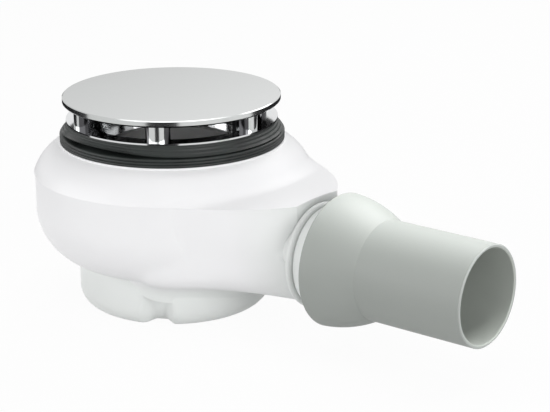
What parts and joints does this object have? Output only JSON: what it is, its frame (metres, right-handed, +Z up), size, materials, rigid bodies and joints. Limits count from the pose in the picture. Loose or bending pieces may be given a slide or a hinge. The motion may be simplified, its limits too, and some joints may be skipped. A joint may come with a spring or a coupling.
{
  "type": "shower trap",
  "caption": "Shower drain trap: domed white body on a fluted cup, chrome cover on short legs, black clamp seals and a grey pipe stub on a swivelling ball outlet.",
  "frame": {"origin": "on the drain axis, at the underside of the cup that the trap stands on", "axes": "+X along the outlet, away from the drain; +Z up along the drain axis; +Y across"},
  "size_m": [0.2646, 0.1432, 0.1103],
  "materials": {
    "chrome": "bright polished plating",
    "steel": "plain stainless",
    "brass": "turned",
    "rubber": "matt black",
    "inner_plastic": "moulded",
    "white_plastic": "satin moulded",
    "grey_plastic": "satin moulded"
  },
  "bodies": {
    "trap": {"cover": "chrome", "flange": "chrome", "clamp_screws": "steel", "screw_inserts": "brass", "upper_seal": "rubber", "lower_seal": "rubber", "dip_tube": "inner_plastic", "dip_tube_seal": "rubber", "upper_shell": "white_plastic", "lower_shell": "white_plastic", "trap_cup": "white_plastic", "outlet_ball": "white_plastic"},
    "outlet_ring": {"outlet_seal": "rubber"},
    "outlet": {"outlet_pipe": "grey_plastic"}
  },
  "joints": [
    {"name": "outlet_turn", "type": "hinge", "parent": "trap", "child": "outlet_ring", "pos_m": [0.1136, 0, 0.043], "axis": [1, 0, 0], "continuous": true},
    {"name": "outlet_tilt", "type": "hinge", "parent": "outlet_ring", "child": "outlet", "pos_m": [0.1136, 0, 0.043], "axis": [0, 0, 1], "range_deg": [-6, 6]}
  ]
}
